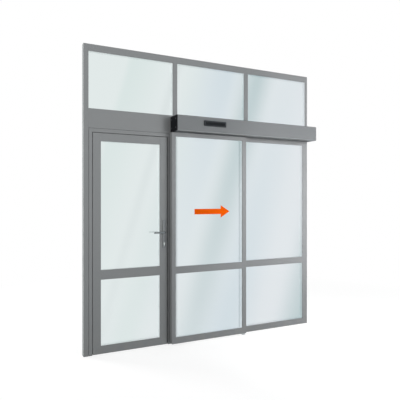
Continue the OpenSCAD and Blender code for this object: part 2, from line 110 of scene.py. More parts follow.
def ellipse(centre, across, up, sides=24):
    """Points round an ellipse whose half axes are the vectors across and up."""
    turns = [2 * math.pi * i / sides for i in range(sides)]
    return [centre + across * math.cos(t) + up * math.sin(t) for t in turns]


def hexagon(centre, across, up, sides=24):
    """As many points round a hexagon, to join it to an ellipse."""
    points = []
    for i in range(sides):
        t = 2 * math.pi * i / sides
        reach = math.cos(math.pi / 6) / math.cos(t % (math.pi / 3) - math.pi / 6)
        points.append(centre + (across * math.cos(t) + up * math.sin(t)) * reach)
    return points


def rounded(centre, across, up, half_w, half_h, r, steps=5):
    """Points round a rectangle with round corners; across and up are unit vectors."""
    points = []
    for k, (sx, sz) in enumerate(((1, 1), (-1, 1), (-1, -1), (1, -1))):
        for i in range(steps + 1):
            t = math.radians(90 * (k + i / steps))
            w = sx * (half_w - r) + r * math.cos(t)
            h = sz * (half_h - r) + r * math.sin(t)
            points.append(centre + across * w + up * h)
    return points


def add_box(bm, low, high, edge=0.0, steps=2):
    """A box between two corners, with its edges rounded."""
    low, high = Vector(low), Vector(high)
    verts = bmesh.ops.create_cube(bm, size=1.0)["verts"]
    bmesh.ops.scale(bm, vec=high - low, verts=verts)
    bmesh.ops.translate(bm, vec=(low + high) / 2, verts=verts)
    if edge:
        edges = list(dict.fromkeys(e for v in verts for e in v.link_edges))
        bmesh.ops.bevel(bm, geom=edges, offset=edge, segments=steps, profile=0.5,
                        affect="EDGES")


def add_ring(bm, opening, section):
    """Sweeps a section round a rectangular opening (x0, z0, x1, z1), with mitred corners.
    The section's points are (distance inwards from the opening's edge, y)."""
    x0, z0, x1, z1 = opening
    loops = []
    for inwards, y in section:
        a, b, c, d = x0 + inwards, z0 + inwards, x1 - inwards, z1 - inwards
        loops.append([Vector((a, y, b)), Vector((c, y, b)), Vector((c, y, d)), Vector((a, y, d))])
    add_loft(bm, loops, closed=True)


def add_lathe(bm, base, axis, outline, sides=32):
    """Turns an outline of (distance along the axis, radius) about an axis from base."""
    across = axis.orthogonal().normalized()
    up = axis.cross(across).normalized()
    add_loft(bm, [ellipse(base + axis * d, across * r, up * r, sides) for d, r in outline])


def add_path(bm, corners, section):
    """Sweeps a section along an open path of corners. Each corner is a function that turns a
    section point (inwards, y) into a place."""
    add_loft(bm, [[corner(inwards, y) for inwards, y in section] for corner in corners])


# A screw head's outline, from its root to the bottom of its hexagon socket: (height, radius,
# shape), both as shares of the head's radius
SCREW_HEAD = [
    (-0.3, 1.0, ellipse), (0.12, 1.0, ellipse), (0.34, 0.93, ellipse), (0.46, 0.78, ellipse),
    (0.5, 0.58, ellipse), (0.5, 0.5, hexagon), (0.1, 0.48, hexagon), (0.02, 0.1, ellipse),
]


def add_screw(bm, place, out, r):
    """A low screw head with a hexagon socket; out points away from the surface."""
    across = out.orthogonal().normalized()
    up = out.cross(across).normalized()
    add_loft(bm, [shape(place + out * height * r, across * r * size, up * r * size)
                  for height, size, shape in SCREW_HEAD])


def add_plate(bm, middle, out, across, up, half_w, half_h, corner, layers, steps=5):
    """A plate with round corners, built up along out in layers of (distance, growth)."""
    loops = []
    for d, grow in layers:
        sizes = (half_w + grow, half_h + grow, corner + grow)
        loops.append(rounded(middle + out * d, across, up, *sizes, steps))
    add_loft(bm, loops)


def centre_of(low, high):
    """The middle of a box."""
    return (low + high) / 2


def piece(name, bm, body, material, replaces=(), smooth=35):
    """Makes a piece of the object, which rides on a body and takes its material. Edges
    sharper than smooth degrees stay sharp."""
    bmesh.ops.recalc_face_normals(bm, faces=bm.faces)
    mesh = bpy.data.meshes.new(name)
    bm.to_mesh(mesh)
    bm.free()
    mesh.shade_smooth()
    mesh.set_sharp_from_angle(angle=math.radians(smooth))
    mesh.materials.append(MATERIALS[material])
    made = bpy.data.objects.new(name, mesh)
    bpy.context.scene.collection.objects.link(made)
    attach(made, body)
    if replaces:
        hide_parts(*replaces)
    return made


# ---------------------------------------------------------------- materials


class Graph:
    """A node tree with short calls, each of which returns an output socket."""

    def __init__(self, tree):
        self.tree = tree
        tree.nodes.clear()

    def put(self, socket, value):
        """Links an output to a socket, or sets the socket to a constant."""
        if isinstance(value, bpy.types.NodeSocket):
            self.tree.links.new(value, socket)
        else:
            socket.default_value = value

    def add(self, kind, inputs=None, **settings):
        """A node with its settings, and its inputs linked or set by name."""
        made = self.tree.nodes.new("ShaderNode" + kind)
        for name, value in settings.items():
            setattr(made, name, value)
        for name, value in (inputs or {}).items():
            self.put(made.inputs[name], value)
        return made

    def math(self, operation, *values):
        """The result of a Math node."""
        made = self.add("Math", operation=operation)
        for socket, value in zip(made.inputs, values):
            self.put(socket, value)
        return made.outputs[0]

    def place(self):
        """Where a point is in the row frame, in metres."""
        return self.add("TexCoord").outputs["Object"]

    def stretch(self, vector, x, y, z):
        """A vector with each part multiplied."""
        return self.add("Mapping", {"Vector": vector, "Scale": (x, y, z)}).outputs[0]

    def noise(self, vector, size, detail=2.0, rough=0.5):
        """Noise from 0 to 1 with features of about size metres."""
        return self.add("TexNoise", {"Vector": vector, "Scale": 1 / size, "Detail": detail,
                                     "Roughness": rough}).outputs["Fac"]

    def remap(self, value, a, b, c, d, soft=False):
        """value from a..b to c..d, clamped, with rounded ends when soft."""
        return self.add("MapRange", {"Value": value, "From Min": a, "From Max": b,
                                     "To Min": c, "To Max": d},
                        interpolation_type="SMOOTHSTEP" if soft else "LINEAR").outputs["Result"]

    def mix(self, factor, a, b):
        """Colour a where factor is 0 and b where it is 1."""
        made = self.add("Mix", data_type="RGBA")
        factor_at, a_at, b_at, colour_out = 0, 6, 7, 2
        for index, value in ((factor_at, factor), (a_at, a), (b_at, b)):
            self.put(made.inputs[index], value)
        return made.outputs[colour_out]

    def blend(self, factor, a, b):
        """Shader a where factor is 0 and b where it is 1."""
        made = self.add("MixShader")
        for socket, value in zip(made.inputs, (factor, a.outputs[0], b.outputs[0])):
            self.put(socket, value)
        return made

    def edges(self, radius):
        """About 1 on the piece's edges and 0 on its flat faces."""
        soft = self.add("Bevel", {"Radius": radius}, samples=4).outputs[0]
        plain = self.add("NewGeometry").outputs["Normal"]
        same = self.add("VectorMath", operation="DOT_PRODUCT")
        self.put(same.inputs[0], soft)
        self.put(same.inputs[1], plain)
        return self.remap(same.outputs["Value"], 0.98, 0.8, 0.0, 1.0)

    def bump(self, height, distance, strength):
        """A normal that follows a height map; distance is in metres."""
        return self.add("Bump", {"Height": height, "Distance": distance,
                                 "Strength": strength}).outputs[0]


def surface(name):
    """A new material with one Principled shader."""
    material = bpy.data.materials.new(name)
    material.use_nodes = True
    graph = Graph(material.node_tree)
    shader = graph.add("BsdfPrincipled")
    graph.add("OutputMaterial", {"Surface": shader.outputs[0]})
    return material, graph, shader


def shade(colour, factor, lift=0.0):
    """A colour made lighter or darker, with an alpha of 1."""
    return (*(c * factor + lift for c in colour), 1)


# Colour of the dust that gathers near the floor
DUST = (0.33, 0.315, 0.29, 1)


def coated_metal(name, colour, metallic, roughness, grain, depth):
    """Aluminium under a satin powder coat: a fine grain, slow changes of shade and gloss,
    a little dust near the floor, and edges rubbed lighter."""
    material, graph, shader = surface(name)
    place = graph.place()
    cloud, speck, patch, smudge, edge = 0.6, 0.012, 0.05, 0.11, 0.0025
    floor_dust, clean_above = 0.02, 0.4
    broad = graph.noise(place, cloud, 3.0)
    fine = graph.noise(place, speck, 3.0, 0.6)
    body = graph.mix(broad, shade(colour, 0.95), shade(colour, 1.05))
    speckled = graph.mix(graph.remap(fine, 0.35, 0.7, 0.0, 0.35), body, shade(colour, 1.1))
    worn = graph.math("MULTIPLY", graph.edges(edge), graph.remap(broad, 0.3, 0.75, 0.1, 0.45))
    rubbed = graph.mix(worn, speckled, shade(colour, 1.5))
    height = graph.add("SeparateXYZ", {"Vector": place}).outputs["Z"]
    low = graph.remap(height, floor_dust, clean_above, 1.0, 0.0)
    settled = graph.remap(graph.noise(place, patch, 4.0), 0.4, 0.8, 0.0, 0.3)
    dust = graph.math("MULTIPLY", low, settled)
    graph.put(shader.inputs["Base Color"], graph.mix(dust, rubbed, DUST))
    uneven = graph.noise(place, smudge, 4.0)
    smudged = graph.remap(uneven, 0.3, 0.75, roughness - 0.05, roughness + 0.08)
    graph.put(shader.inputs["Roughness"], graph.math("ADD", smudged, graph.math("MULTIPLY", dust, 0.6)))
    graph.put(shader.inputs["Normal"], graph.bump(graph.noise(place, grain, 2.0), depth, 0.5))
    shader.inputs["Metallic"].default_value = metallic
    return material


def brushed_metal(name, colour, roughness, along):
    """Bare metal with fine drawn lines along one axis: 0, 1 or 2."""
    material, graph, shader = surface(name)
    place = graph.place()
    line, patch, edge, depth = 0.0009, 0.05, 0.0012, 0.00004
    scale = [1.0, 1.0, 1.0]
    scale[along] = 0.02
    lines = graph.noise(graph.stretch(place, *scale), line, 3.0, 0.7)
    broad = graph.noise(place, patch, 3.0)
    body = graph.mix(lines, shade(colour, 0.86), shade(colour, 1.08))
    worn = graph.mix(graph.math("MULTIPLY", graph.edges(edge), 0.4), body, shade(colour, 1.25))
    graph.put(shader.inputs["Base Color"], worn)
    uneven = graph.math("ADD", graph.math("MULTIPLY", lines, 0.12), graph.math("MULTIPLY", broad, 0.1))
    graph.put(shader.inputs["Roughness"], graph.math("ADD", uneven, roughness - 0.11))
    graph.put(shader.inputs["Normal"], graph.bump(lines, depth, 0.5))
    shader.inputs["Metallic"].default_value = 1.0
    return material


def moulded(name, colour, roughness, gloss, depth=0.00005):
    """Moulded plastic or rubber: a fine grain, dusty in places, paler on its edges."""
    material, graph, shader = surface(name)
    place = graph.place()
    grain, patch, edge = 0.0007, 0.04, 0.0015
    dust = graph.remap(graph.noise(place, patch, 4.0, 0.6), 0.45, 0.85, 0.0, 0.25)
    body = graph.mix(dust, shade(colour, 1.0), shade(colour, 0.8, 0.035))
    worn = graph.mix(graph.math("MULTIPLY", graph.edges(edge), 0.35), body, shade(colour, 1.1, 0.03))
    graph.put(shader.inputs["Base Color"], worn)
    graph.put(shader.inputs["Roughness"], graph.math("ADD", graph.math("MULTIPLY", dust, 0.7), roughness))
    graph.put(shader.inputs["Normal"], graph.bump(graph.noise(place, grain, 2.0), depth, 0.4))
    shader.inputs["Specular IOR Level"].default_value = gloss
    return material


def pile(name, colour):
    """Brush fibres: dark, matt, with fine changes from tuft to tuft."""
    material, graph, shader = surface(name)
    tuft, depth = 0.0016, 0.0004
    tufts = graph.noise(graph.stretch(graph.place(), 1, 0.15, 1), tuft, 2.0)
    graph.put(shader.inputs["Base Color"], graph.mix(tufts, shade(colour, 0.5), shade(colour, 2.2)))
    graph.put(shader.inputs["Normal"], graph.bump(tufts, depth, 0.8))
    shader.inputs["Roughness"].default_value = 0.85
    shader.inputs["Sheen Weight"].default_value = 0.3
    return material


def film(name, colour):
    """Cut vinyl film on glass: nearly even colour, uneven gloss and a faint ripple."""
    material, graph, shader = surface(name)
    place = graph.place()
    patch, ripple, depth = 0.03, 0.004, 0.00004
    cloudy = graph.noise(place, patch, 3.0)
    graph.put(shader.inputs["Base Color"], graph.mix(cloudy, shade(colour, 0.96), shade(colour, 1.04)))
    graph.put(shader.inputs["Roughness"], graph.remap(cloudy, 0.3, 0.7, 0.42, 0.55))
    graph.put(shader.inputs["Normal"], graph.bump(graph.noise(place, ripple, 2.0), depth, 0.4))
    shader.inputs["Specular IOR Level"].default_value = 0.03
    return material


def glazing(name):
    """Coated glass without refraction: it shows what is behind it through a tint, and mirrors
    by Fresnel on its outer faces. The tint and the mirror are a little uneven."""
    material = bpy.data.materials.new(name)
    material.use_nodes = True
    graph = Graph(material.node_tree)
    place = graph.place()
    cloud, wave, depth = 0.7, 0.35, 0.0006
    cloudy = graph.noise(place, cloud, 2.0)
    tint = graph.mix(cloudy, shade(GLASS_TINT, 0.985), shade(GLASS_TINT, 1.005))
    clear = graph.add("BsdfTransparent", {"Color": tint})
    wavy = graph.bump(graph.noise(graph.stretch(place, 1, 1, 0.4), wave, 1.0), depth, 0.5)
    mirror = graph.add("BsdfGlossy", {"Color": (1, 1, 1, 1), "Roughness": 0.02, "Normal": wavy})
    fresnel = graph.add("Fresnel", {"IOR": GLASS_IOR}).outputs[0]
    inside = graph.add("NewGeometry").outputs["Backfacing"]
    share = graph.math("MULTIPLY", fresnel, graph.math("SUBTRACT", 1.0, inside))
    both = graph.blend(share, clear, mirror)
    graph.add("OutputMaterial", {"Surface": both.outputs[0]})
    return material


# Tint of light through each face of a pane, and an index high enough for a reflective coating
GLASS_TINT = (0.742, 0.764, 0.764)
GLASS_IOR = 7.9
MATERIALS = {
    "frame_metal": coated_metal("frame_metal", (0.237, 0.24, 0.244), 0.25, 0.42, 0.0016, 0.00006),
    "cover_metal": coated_metal("cover_metal", (0.172, 0.177, 0.182), 0.25, 0.4, 0.0012, 0.00004),
    "mill_aluminium": brushed_metal("mill_aluminium", (0.6, 0.6, 0.61), 0.34, 0),
    "insulated_glass": glazing("insulated_glass"),
    "leaf_glass": glazing("leaf_glass"),
    "cap_plastic": moulded("cap_plastic", (0.006, 0.0065, 0.008), 0.5, gloss=0.06),
    "sensor_plastic": moulded("sensor_plastic", (0.03, 0.033, 0.037), 0.4, gloss=0.2),
    "hinge_metal": coated_metal("hinge_metal", (0.21, 0.215, 0.222), 0.4, 0.36, 0.001, 0.00003),
    "steel": brushed_metal("steel", (0.36, 0.37, 0.38), 0.3, 2),
    # Steel darkened to stand in for the dark reflections of a chrome lever: a painted reflection.
    "lever_steel_painted_dark": brushed_metal("lever_steel_painted_dark", (0.22, 0.225, 0.23), 0.25, 0),
    "nickel": brushed_metal("nickel", (0.7, 0.7, 0.68), 0.16, 1),
    "brush_seal": pile("brush_seal", (0.03, 0.03, 0.031)),
    "arrow_film": film("arrow_film", (0.75, 0.096, 0.001)),
    "wheel_plastic": moulded("wheel_plastic", (0.75, 0.75, 0.73), 0.45, gloss=0.4),
    "rubber": moulded("rubber", (0.13, 0.132, 0.135), 0.62, gloss=0.35),
    # Pale liners stand in for light in the shaded reveals behind the glass: painted light.
    "liner_pale_painted_light": moulded("liner_pale_painted_light", (0.78, 0.79, 0.79), 0.5, gloss=0.3),
    "lens": moulded("lens", (0.01, 0.011, 0.013), 0.2, gloss=0.12, depth=0.00001),
}


def dress_frame():
    """Gives each CAD node the material of its own slot."""
    for node in frame["nodes"].values():
        for slot in node.material_slots:
            slot.material = MATERIALS[slot.material.name]


# ---------------------------------------------------------------- glazing

# (node, body, material) of the panes
GLAZED = [
    ("upper_lights", "frame", "insulated_glass"),
    ("screen_panes", "frame", "insulated_glass"),
    ("door_panes", "hinged_leaf", "insulated_glass"),
    ("slide_panes", "sliding_leaf", "leaf_glass"),
]
# The CAD node whose back face carries the beads that hold those panes
BEADED = {"upper_lights": "left_mullion", "screen_panes": "screen_left_stile",
          "door_panes": "door_mid_rail", "slide_panes": "slide_mid_rail"}
# How far a trim dips into what it touches, so that no gap shows
TUCK = 0.0003
# How far a pane reaches into its frame
PANE_SINK = 0.0006
# Widths and thicknesses of the rubber lips, the aluminium spacers, the beads and the liners
GASKET_W, GASKET_T = 0.0013, 0.0018
SPACER_W = 0.0016
BEAD_W, BEAD_T = 0.020, 0.0009
LINER_T = 0.0012
# Thickness of one sheet of an insulated pane
SHEET_T = 0.006


def opening_of(low, high):
    """A pane's outline in the plane of the screen, for add_ring."""
    return low.x, low.z, high.x, high.z


def gasket_section(y, out):
    """A rubber lip on the glass at y; out is -1 on the front and 1 on the back."""
    return [(-PANE_SINK, y - out * TUCK), (-PANE_SINK, y + out * GASKET_T),
            (GASKET_W * 0.3, y + out * (GASKET_T + TUCK)),
            (GASKET_W * 0.75, y + out * GASKET_T * 0.6), (GASKET_W, y - out * TUCK)]


def liner_section(y, back):
    """The return of the bead, which lines the opening from the glass at y to the back. Its pale colour is
    painted light in the shaded reveal.
    """
    start, end, slope = y + 0.0002, back - 0.0012, 0.0004
    return [(-TUCK, start), (-TUCK, end), (LINER_T - TUCK, end), (LINER_T, end - slope), (LINER_T, start)]


def bead_section(y):
    """A snapped-in bead that stands just proud of the back face at y."""
    root, lip, slope = y - 0.0006, -0.0004, 0.0012
    return [(-BEAD_W, root), (-BEAD_W, y + BEAD_T * 0.6), (-BEAD_W - lip, y + BEAD_T),
            (lip - slope, y + BEAD_T), (lip, y + BEAD_T * 0.2), (lip, root)]


def spacer_section(front, back):
    """The aluminium bar between the two sheets of an insulated pane, with its edges cut off."""
    inner = SPACER_W - 0.0006
    return [(-0.0002, front), (-0.0002, back), (inner, back), (SPACER_W, back - 0.0008),
            (SPACER_W, front + 0.0008), (inner, front)]


def glaze():
    """Panes with gaskets on both faces and beads and liners behind them. Insulated ones have
    spacers between their sheets."""
    sink = Vector((PANE_SINK, 0, PANE_SINK))
    for node, body, material in GLAZED:
        glass, gaskets, beads, liners, spacers = (bmesh.new() for _ in range(5))
        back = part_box(BEADED[node])[1].y
        for low, high in solids(node):
            opening = opening_of(low, high)
            add_box(glass, low - sink, high + sink)
            add_ring(gaskets, opening, gasket_section(low.y, -1))
            add_ring(gaskets, opening, gasket_section(high.y, 1))
            add_ring(beads, opening, bead_section(back))
            add_ring(liners, opening, liner_section(high.y, back))
            add_ring(spacers, opening, spacer_section(low.y + SHEET_T, high.y - SHEET_T))
        piece(node + "_glass", glass, body, material, replaces=[node])
        piece(node + "_gaskets", gaskets, body, "rubber")
        piece(node + "_beads", beads, body, "frame_metal")
        # The liners' pale colour is painted light where the reveals behind the glass are in shade.
        piece(node + "_liners", liners, body, "liner_pale_painted_light")
        if material == "insulated_glass":
            piece(node + "_spacers", spacers, body, "mill_aluminium")
        else:
            spacers.free()


# ---------------------------------------------------------------- hinged door

# The lever: radius of its neck, reach to the middle of its grip, radius of the elbow, half height
# and half thickness of the grip, and the round of its tip
NECK_R, REACH, ELBOW_R = 0.0085, 0.043, 0.013
GRIP_H, GRIP_T, GRIP_TAPER = 0.0094, 0.0048, 0.0022
TIP_R, TIP_H = 0.008, 0.0082


def elbow_loops(root, out):
    """From the end of the neck round the elbow, changing from round to flat."""
    loops, steps = [], 8
    for i in range(1, steps + 1):
        share = i / steps
        t = math.pi / 2 * share
        middle = root + out * (REACH - ELBOW_R + ELBOW_R * math.sin(t)) - X * ELBOW_R * (1 - math.cos(t))
        side = X * math.cos(t) + out * math.sin(t)
        thick = NECK_R + (GRIP_T - NECK_R) * share
        tall = NECK_R + (GRIP_H - NECK_R) * share
        loops.append(ellipse(middle, side * thick, Z * tall))
    return loops


def grip_loops(root, out, tip_x):
    """From the elbow to the tip, a little lower towards its round end."""
    loops, steps = [], 6
    start, end = root.x - ELBOW_R, tip_x + TIP_R
    for share in (0.25, 0.5, 0.75):
        middle = Vector((start + (end - start) * share, root.y, root.z)) + out * REACH
        loops.append(ellipse(middle, out * GRIP_T, Z * (GRIP_H - GRIP_TAPER * share)))
    for i in range(steps):
        t = math.pi / 2 * i / steps
        size = math.cos(t)
        middle = Vector((end - TIP_R * math.sin(t), root.y, root.z)) + out * REACH
        loops.append(ellipse(middle, out * GRIP_T * max(size, 0.25), Z * TIP_H * size))
    return loops


def add_lever(bm, root, out, tip_x):
    """A lever from the leaf's face: a round neck, an elbow and a flat tapering grip."""
    along = (0.0005, 0.012, 0.022, REACH - ELBOW_R)
    neck = [ellipse(root + out * d, X * NECK_R, Z * NECK_R) for d in along]
    add_loft(bm, neck + elbow_loops(root, out) + grip_loops(root, out, tip_x))


# The backplates: round of their corners, inset and size of their screws, and the collar round
# the lever's neck as (distance from the plate's face, radius)
PLATE_CORNER, PLATE_SCREW_IN, PLATE_SCREW_R = 0.006, 0.014, 0.0042
COLLAR = [(0, 0.0145), (0.0025, 0.0145), (0.0036, 0.0132), (0.004, 0.0096)]


def make_handles():
    """Levers, two-layer backplates with their screws and collars, and the lock cylinder. The backplates'
    dark rubber lower layer is a painted shadow round their sides.
    """
    plates, shade_underplates, screws = bmesh.new(), bmesh.new(), bmesh.new()
    turn = joint("lever_turn")
    for (low, high), lever, out in zip(solids("handle_plates"), ("front_lever", "back_lever"), (-Y, Y)):
        half_w, half_h, depth = (high.x - low.x) / 2, (high.z - low.z) / 2, high.y - low.y
        middle, hub = centre_of(low, high), turn.copy()
        middle.y = hub.y = high.y if out.y < 0 else low.y
        base_t = depth * 0.6
        # The lower layer, in dark rubber, is a painted shadow along the plate's sides.
        add_plate(shade_underplates, middle, out, X, Z, half_w, half_h, PLATE_CORNER,
                  [(0.0, -TUCK), (base_t, -TUCK)])
        add_plate(plates, middle, out, X, Z, half_w, half_h, PLATE_CORNER,
                  [(base_t, 0.0), (depth - 0.0018, 0.0), (depth - 0.0006, -0.0006), (depth, -0.002)])
        add_lathe(plates, hub + out * (depth - 0.0005), out, COLLAR)
        for z in (low.z + PLATE_SCREW_IN, high.z - PLATE_SCREW_IN):
            add_screw(screws, Vector((middle.x, middle.y, z)) + out * depth, out, PLATE_SCREW_R)
        grip = bmesh.new()
        add_lever(grip, hub, out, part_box(lever)[0].x)
        # The lever's darkened steel is a painted reflection.
        made = piece(lever + "_shape", grip, "lever", "lever_steel_painted_dark", replaces=[lever], smooth=50)
        # Hidden from mirror rays, so that the panes beside it don't show a second, sharp lever
        made.visible_glossy = False
    piece("handle_backplates", plates, "hinged_leaf", "hinge_metal", replaces=["handle_plates"])
    # Dark underplates: painted shadow round the backplates.
    piece("handle_underplates_painted_shade", shade_underplates, "hinged_leaf", "rubber")
    piece("handle_screws", screws, "hinged_leaf", "steel")
    make_cylinder()


# The lock cylinder: radius of its barrel, width of its fin, the round of its edges, its plug as
# (distance from 1 mm inside the face, radius), and the half sizes and corner of its keyway
BARREL_R, FIN_W, CYLINDER_EDGE = 0.0085, 0.010, 0.0006
PLUG = [(0, 0.0062), (0.0014, 0.0062), (0.0017, 0.0058)]
KEYWAY = (0.0009, 0.0042, 0.0006)


def euro_outline(middle, fin_h, grow):
    """The outline of a profile cylinder: a round barrel over a fin with a round foot."""
    r, half = BARREL_R + grow, FIN_W / 2 + grow
    start = -math.acos(half / r)
    sweep = math.pi - 2 * start
    foot = BARREL_R + fin_h - FIN_W / 2
    points = []
    for i in range(21):
        t = start + sweep * i / 20
        points.append(middle + X * r * math.cos(t) + Z * r * math.sin(t))
    for i in range(9):
        t = math.pi + math.pi * i / 8
        points.append(middle + X * half * math.cos(t) + Z * (half * math.sin(t) - foot))
    return points


def make_cylinder():
    """The lock cylinder, with a plug and a keyway on each face."""
    low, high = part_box("lock_cylinder")
    fin_h = high.z - low.z - 2 * BARREL_R
    middle = Vector(((low.x + high.x) / 2, 0, high.z - BARREL_R))
    body, keyways = bmesh.new(), bmesh.new()
    edge = CYLINDER_EDGE
    layers = [(low.y, -edge), (low.y + edge, 0), (high.y - edge, 0), (high.y, -edge)]
    add_loft(body, [euro_outline(middle + Y * y, fin_h, grow) for y, grow in layers])
    for y, out in ((low.y, -Y), (high.y, Y)):
        face = middle + Y * y
        add_lathe(body, face - out * 0.001, out, PLUG)
        # Each keyway is a dark rubber slot standing on the plug: painted shade where the real keyway is a
        # hole.
        add_loft(keyways, [rounded(face + out * d, X, Z, *KEYWAY, 3) for d in (0.0005, 0.0018)])
    piece("lock_cylinder_shape", body, "hinged_leaf", "nickel", replaces=["lock_cylinder"])
    piece("lock_keyways_painted_shade", keyways, "hinged_leaf", "rubber")


# The hinges: length of the frame's half, and distance from the screen's back to the axis
HINGE_HALF, HINGE_AXIS_OUT = 0.05475, 0.012
# Thickness, corner radius and bevel of a hinge's plate, width of the web between the plate and
# the barrel, and radius of the pin and of the screws
HINGE_PLATE_T, HINGE_CORNER, HINGE_EDGE = 0.003, 0.003, 0.0006
WEB_W, PIN_R, HINGE_SCREW_R = 0.009, 0.004, 0.0036


def add_barrel(bm, axis, r, low_z, high_z):
    """A hinge's barrel, with both ends cut off at a slope."""
    length = high_z - low_z
    end = [(0, r * 0.72), (0.0012, r * 0.94), (0.0022, r)]
    outline = end + [(length - d, size) for d, size in reversed(end)]
    add_lathe(bm, Vector((axis.x, axis.y, low_z)), Z, outline)


def add_pin(bm, axis, low_z, high_z):
    """The pin that stands on a barrel, with a narrower tip."""
    root, length = 0.002, high_z - low_z
    add_lathe(bm, Vector((axis.x, axis.y, low_z - root)), Z,
              [(0, PIN_R), (length, PIN_R), (length + root, PIN_R * 0.75)])


def add_wing(metal, screws, axis, outer, inner, side, low_z, high_z, shares):
    """A hinge's plate from outer to inner, the web between it and the barrel on one side, and
    screws at shares of the plate's half height."""
    base = axis.y - HINGE_AXIS_OUT
    web = axis.x + side * WEB_W
    middle = Vector(((outer + inner) / 2, base, (low_z + high_z) / 2))
    half_w, half_h = abs(inner - outer) / 2, (high_z - low_z) / 2
    add_plate(metal, middle, Y, X, Z, half_w, half_h, HINGE_CORNER,
              [(0, 0), (HINGE_PLATE_T - HINGE_EDGE, 0), (HINGE_PLATE_T, -HINGE_EDGE)], 4)
    ends = sorted((web, axis.x))
    add_box(metal, (ends[0], base, low_z + 0.001), (ends[1], axis.y, high_z - 0.001), 0.0008)
    for share in shares:
        place = Vector(((outer + web) / 2, base + HINGE_PLATE_T, middle.z + half_h * share))
        add_screw(screws, place, Y, HINGE_SCREW_R)


def make_hinges():
    """Lift-off hinges: the frame's halves carry the pins that the leaf's halves sit on."""
    axis = joint("door_swing")
    for node, body, side, inner, shares in (
        ("frame_hinges", "frame", -1, axis.x - 0.002, (-0.6, 0.6)),
        ("leaf_hinges", "hinged_leaf", 1, axis.x + 0.007, (-0.68, 0.0, 0.68)),
    ):
        metal, screws = bmesh.new(), bmesh.new()
        for low, high in solids(node):
            outer, top = (high.x, high.z) if side > 0 else (low.x, low.z + HINGE_HALF)
            add_barrel(metal, axis, high.y - axis.y, low.z, top)
            if side < 0:
                add_pin(metal, axis, top, high.z)
            add_wing(metal, screws, axis, outer, inner, side, low.z, top, shares)
        piece(node + "_shape", metal, body, "hinge_metal", replaces=[node])
        piece(node + "_screws", screws, body, "steel")


# Gap between the lip of the frame and the flange of the closed leaf behind it
FLANGE_GAP = 0.005


def lock_stile():
    """The mesh of the leaf's lock stile, and how far back the front of its flange and its back
    face are. The flange is the part that reaches behind the frame's lip."""
    mesh, lip_end = frame["nodes"]["door_lock_stile"].data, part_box("door_frame_lock_side")[0].x
    flange = min(v.co.y for v in mesh.vertices if v.co.x > lip_end)
    return mesh, flange, max(v.co.y for v in mesh.vertices)


def stop_section(lip, flange):
    """A wedge of rubber from the back of the lip nearly to the flange of the closed leaf."""
    root, tip, outer, inner = lip - 0.0004, flange - 0.0006, -0.0065, -0.001
    return [(outer, root), (outer, lip + 0.0022), (-0.004, tip), (-0.0025, tip),
            (inner, lip + 0.0016), (inner, root)]


def make_door_stop():
    """The seal on the back of the frame's lip, up one side, over the head and down the other."""
    x0, x1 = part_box("door_frame_hinge_side")[1].x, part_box("door_frame_lock_side")[0].x
    z0, z1 = 0.002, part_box("door_frame_head")[0].z
    _, flange, _ = lock_stile()
    bm = bmesh.new()
    add_path(bm, [
        lambda inwards, y: Vector((x0 + inwards, y, z0)),
        lambda inwards, y: Vector((x0 + inwards, y, z1 - inwards)),
        lambda inwards, y: Vector((x1 - inwards, y, z1 - inwards)),
        lambda inwards, y: Vector((x1 - inwards, y, z0)),
    ], stop_section(flange - FLANGE_GAP, flange))
    piece("door_stop_seal", bm, "frame", "rubber")


# The lock's plates: half width, half height and corner radius, and their middle's distance below
# the spindle. The (height from the middle, half height) of the latch and the bolt that show in
# them, which the strike plate shows as near-black plates of painted shade in its openings, the
# half width and corners of both, and the place and radius of the screws.
LOCK_PLATE, LOCK_DROP = (0.011, 0.12, 0.004), 0.055
LOCK_BOLTS, BOLT_HALF_W, BOLT_CORNER = [(0.055, 0.009), (-0.03, 0.015)], 0.0062, 0.001
LOCK_SCREW_FROM_MIDDLE, LOCK_SCREW_R = 0.108, 0.0032


def make_lock():
    """The lock's faceplate on the leaf's edge, and the strike plate that faces it."""
    half_w, half_h, corner = LOCK_PLATE
    stile, flange, back = lock_stile()
    edge = max(v.co.x for v in stile.vertices)
    jamb = frame["nodes"]["door_frame_lock_side"].data
    face = min(v.co.x for v in jamb.vertices if v.co.y > back - 0.002)
    middle_y, middle_z = (flange + back) / 2, joint("lever_turn").z - LOCK_DROP
    # The strike plate's openings are drawn as near-black plates: painted shade in the holes.
    for name, owner, x, out, end in (("lock_faceplate", "hinged_leaf", edge, X, "nickel"),
                                     ("lock_strike", "frame", face, -X, "lens")):
        plate, bolts, screws = bmesh.new(), bmesh.new(), bmesh.new()
        middle = Vector((x, middle_y, middle_z))
        add_loft(plate, [rounded(middle + out * d, Y, Z, half_w + grow, half_h + grow, corner)
                         for d, grow in ((-0.0006, 0), (0.0002, 0), (0.0004, -0.0003))])
        for z, bolt_half_h in LOCK_BOLTS:
            add_plate(bolts, middle + Z * z, out, Y, Z, BOLT_HALF_W, bolt_half_h, BOLT_CORNER,
                      [(0.0002, 0), (0.0006, 0)], 2)
        for z in (-LOCK_SCREW_FROM_MIDDLE, LOCK_SCREW_FROM_MIDDLE):
            add_screw(screws, middle + Z * z + out * 0.0002, out, LOCK_SCREW_R)
        piece(name, plate, owner, "steel")
        piece(name + "_bolts", bolts, owner, end)
        piece(name + "_screws", screws, owner, "steel")


# Brush seals: half thickness of a tuft at its root and tip, and the distance between tufts
TUFT_ROOT_T, TUFT_TIP_T = 0.0022, 0.0012
SLIDE_PITCH, DOOR_PITCH = 0.0045, 0.004
# On the sliding leaf: how far fibres stand out of their carrier, their length with the part inside
# it, and the distance from the carrier's middle to each of its two rows
FIBRES_OUT, FIBRES_L, ROW_OUT = 0.008, 0.0088, 0.004


